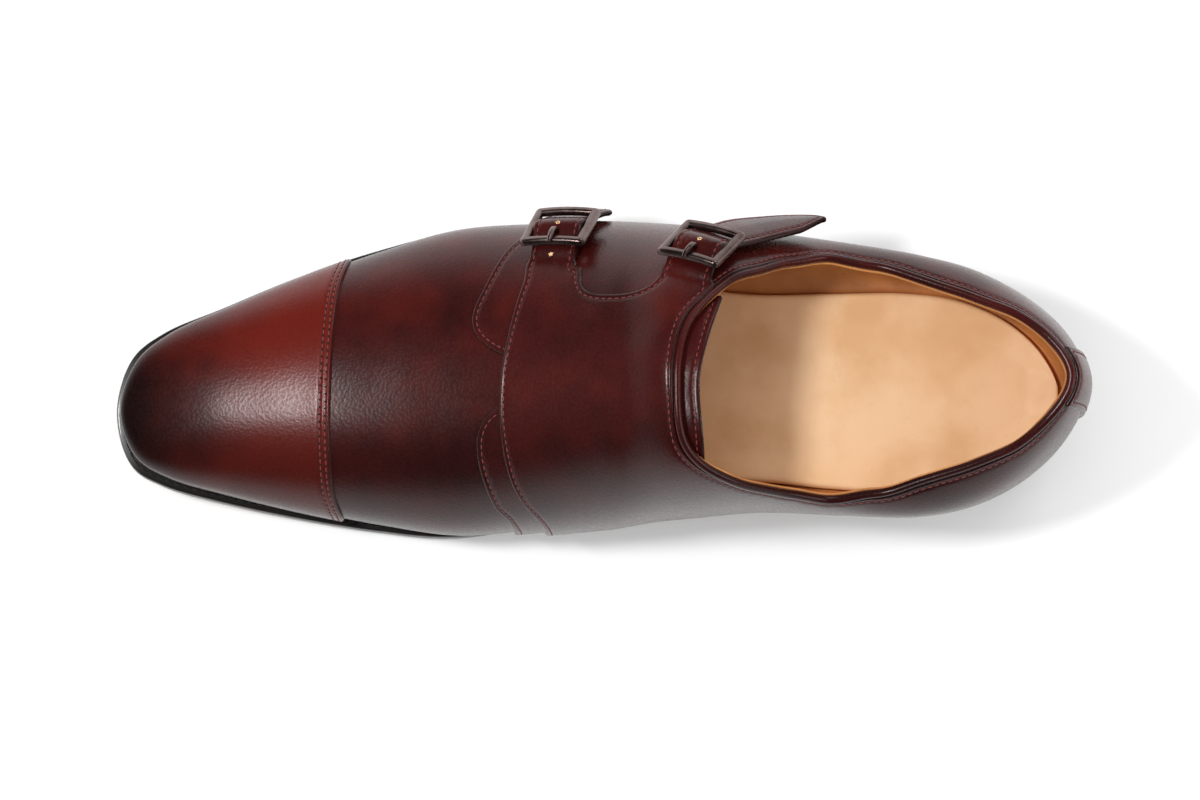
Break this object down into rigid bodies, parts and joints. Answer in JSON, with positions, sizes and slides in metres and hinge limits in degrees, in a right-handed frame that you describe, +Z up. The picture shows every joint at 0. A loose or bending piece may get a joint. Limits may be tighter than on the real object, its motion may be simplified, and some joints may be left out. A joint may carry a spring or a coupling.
{
  "type": "double monk strap shoe",
  "caption": "Cap-toe leather shoe with a flap over the instep, held by straps through rectangular buckles on its outer side; leather sole and stacked heel.",
  "frame": {"origin": "middle of the shoe's overall box, on the floor that it stands on", "axes": "+X from toe to heel, +Y to the outer side with the buckles, +Z up"},
  "size_m": [0.31, 0.1048, 0.0998],
  "materials": {
    "calf": "polished burgundy calf",
    "cap_calf": "polished burgundy calf, darkened towards the toe",
    "sock_leather": "natural tan lining leather",
    "sole_leather": "oak-tanned sole leather with a black edge",
    "sole_edge": "black inked and waxed edge",
    "heel_leather": "black inked stacked leather",
    "heel_rubber": "matt black rubber",
    "buckle_metal": "gunmetal plating",
    "elastic": "black braided elastic"
  },
  "bodies": {
    "root": {"outsole": "sole_leather", "welt": "sole_edge", "heel_rand": "sole_edge", "insole": "sock_leather", "heel_lift_1": "heel_leather", "heel_lift_2": "heel_leather", "heel_lift_3": "heel_leather", "heel_top_piece": "heel_rubber", "upper": "calf", "toe_cap": "cap_calf", "outer_quarter": "calf", "inner_facing": "calf", "strap_flap": "calf", "back_strip": "calf", "tongue": "calf", "front_strap": "calf", "front_buckle": "buckle_metal", "front_prong": "buckle_metal", "front_elastic": "elastic", "rear_strap": "calf", "rear_buckle": "buckle_metal", "rear_prong": "buckle_metal", "rear_elastic": "elastic", "collar_binding": "calf"}
  },
  "joints": []
}
